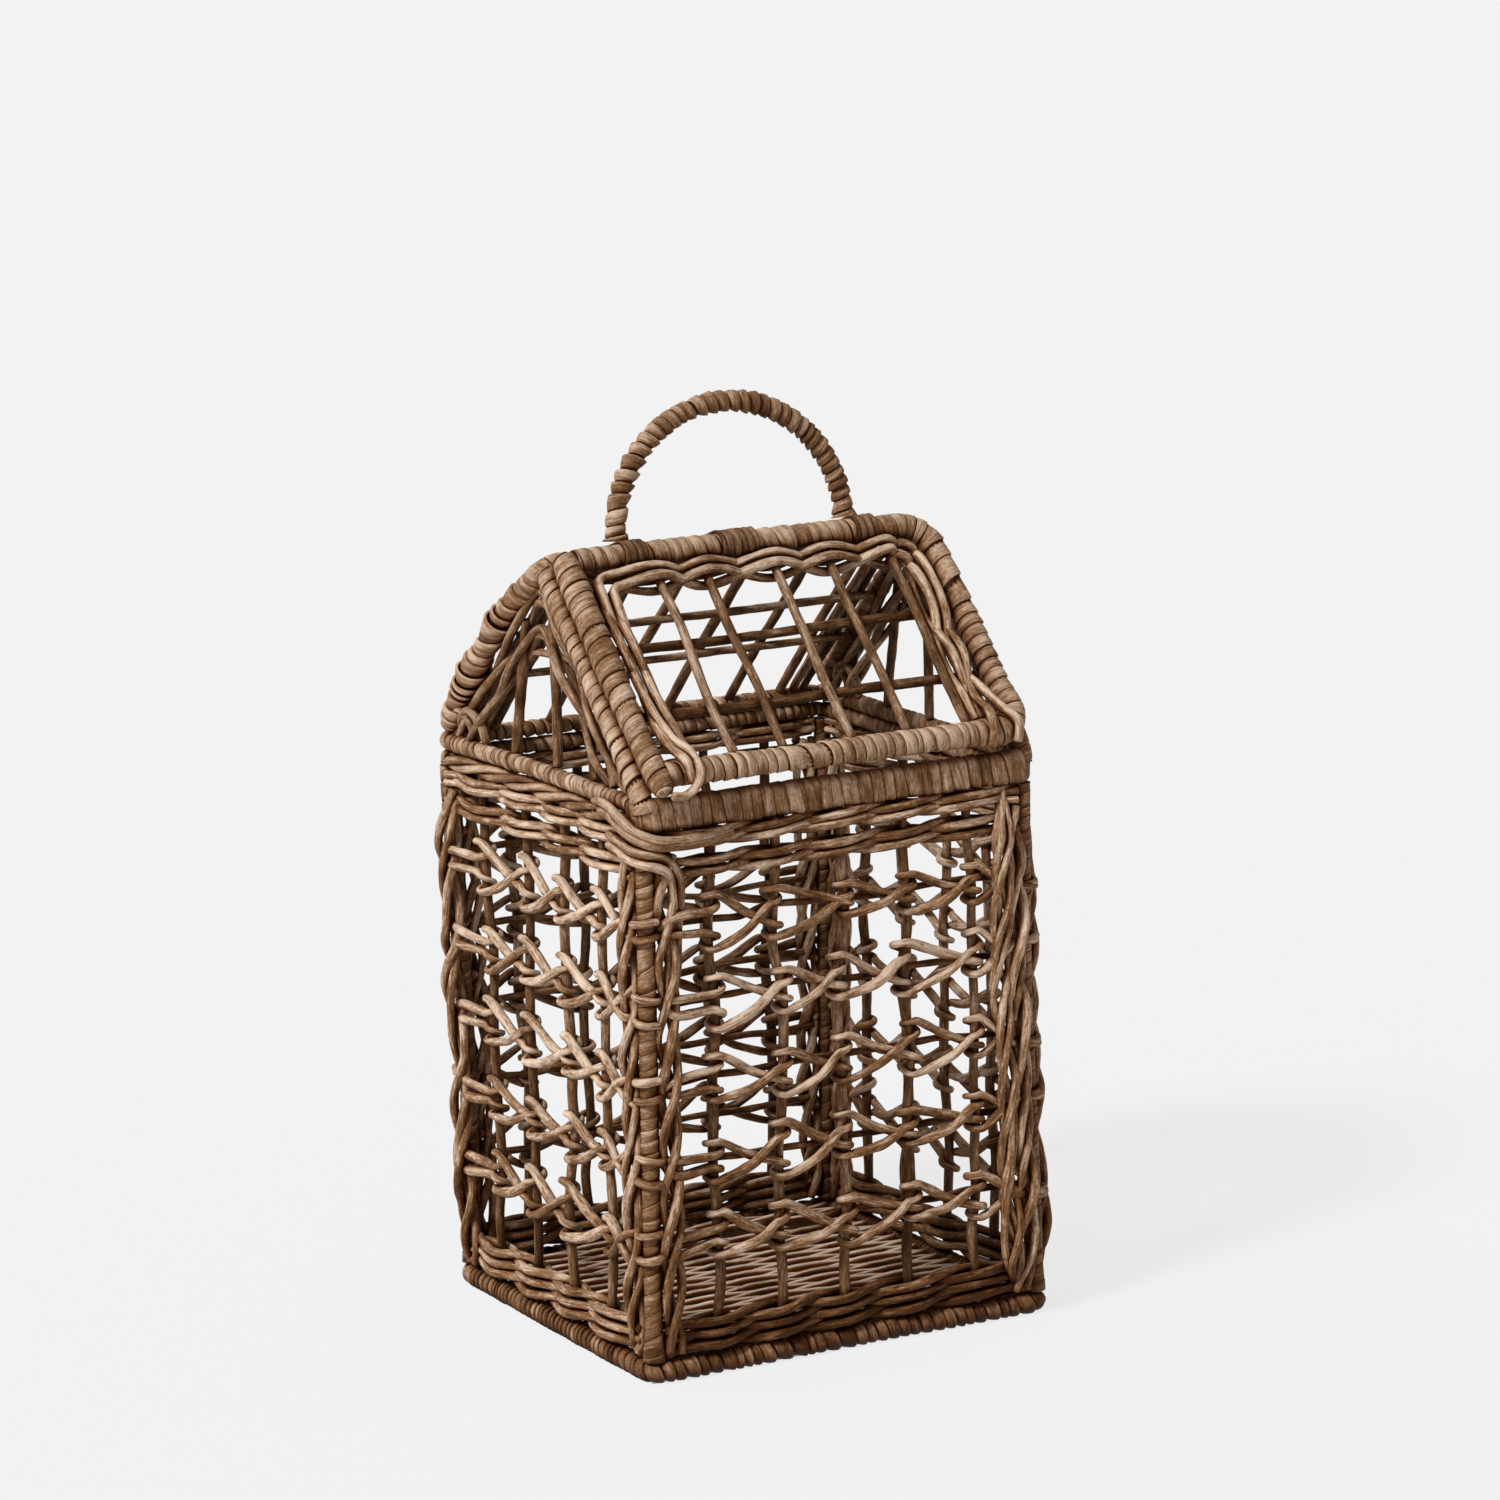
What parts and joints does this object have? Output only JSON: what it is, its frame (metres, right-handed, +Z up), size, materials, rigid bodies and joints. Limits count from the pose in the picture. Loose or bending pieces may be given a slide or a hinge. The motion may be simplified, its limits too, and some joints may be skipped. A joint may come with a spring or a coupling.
{
  "type": "storage basket",
  "caption": "House-shaped open-weave rattan storage basket with a hinged front roof slope as its lid and an arched carrying handle wound in flat cane on the ridge.",
  "frame": {"origin": "middle of the basket's footprint, on the surface that it stands on", "axes": "+Z up, towards the handle; the ridge runs along X; the lid and the front wall face -Y"},
  "size_m": [0.1286, 0.1191, 0.2569],
  "materials": {
    "wrapped_pole": "poles wound edge to edge with flat greyish-brown rattan cane",
    "stake": "bare round rattan rod, matt, grey-brown",
    "weaver": "thin bare round rattan rod, matt, grey-brown",
    "floor": "bare rattan rods laid side by side, matt",
    "lashing": "dark flat rattan cane binding"
  },
  "bodies": {
    "basket": {"bottom_rim": "wrapped_pole", "floor_mat": "floor", "floor_stake_1": "stake", "floor_stake_2": "stake", "floor_stake_3": "stake", "floor_stake_4": "stake", "floor_stake_5": "stake", "corner_post_front_left": "wrapped_pole", "corner_post_front_right": "wrapped_pole", "corner_post_back_left": "wrapped_pole", "corner_post_back_right": "wrapped_pole", "front_stake_1": "stake", "front_stake_2": "stake", "front_stake_3": "stake", "front_stake_4": "stake", "front_stake_5": "stake", "back_stake_1": "stake", "back_stake_2": "stake", "back_stake_3": "stake", "back_stake_4": "stake", "back_stake_5": "stake", "left_stake_1": "stake", "left_stake_2": "stake", "left_stake_3": "stake", "left_stake_4": "stake", "right_stake_1": "stake", "right_stake_2": "stake", "right_stake_3": "stake", "right_stake_4": "stake", "front_weave": "weaver", "back_weave": "weaver", "left_weave": "weaver", "right_weave": "weaver", "top_rim_lower": "wrapped_pole", "top_rim_upper": "wrapped_pole", "back_roof_frame": "wrapped_pole", "back_roof_lattice": "stake", "gable_rail_left": "wrapped_pole", "gable_rail_right": "wrapped_pole", "gable_lattice_left": "stake", "gable_lattice_right": "stake", "handle_pole": "stake", "handle_winding": "wrapped_pole", "handle_lashing_left": "lashing", "handle_lashing_right": "lashing", "hinge_lashing_middle": "lashing"},
    "lid": {"lid_frame": "wrapped_pole", "lid_bar_1": "stake", "lid_bar_2": "stake", "lid_bar_3": "stake", "lid_bar_4": "stake", "lid_bar_5": "stake", "lid_crossbar_upper": "stake", "lid_crossbar_lower": "stake", "lid_border_outer": "weaver", "lid_border_inner": "weaver"}
  },
  "joints": [
    {"name": "lid_hinge", "type": "hinge", "parent": "basket", "child": "lid", "pos_m": [0, -0.00713, 0.21658], "axis": [-1, 0, 0], "range_deg": [0, 135]}
  ]
}
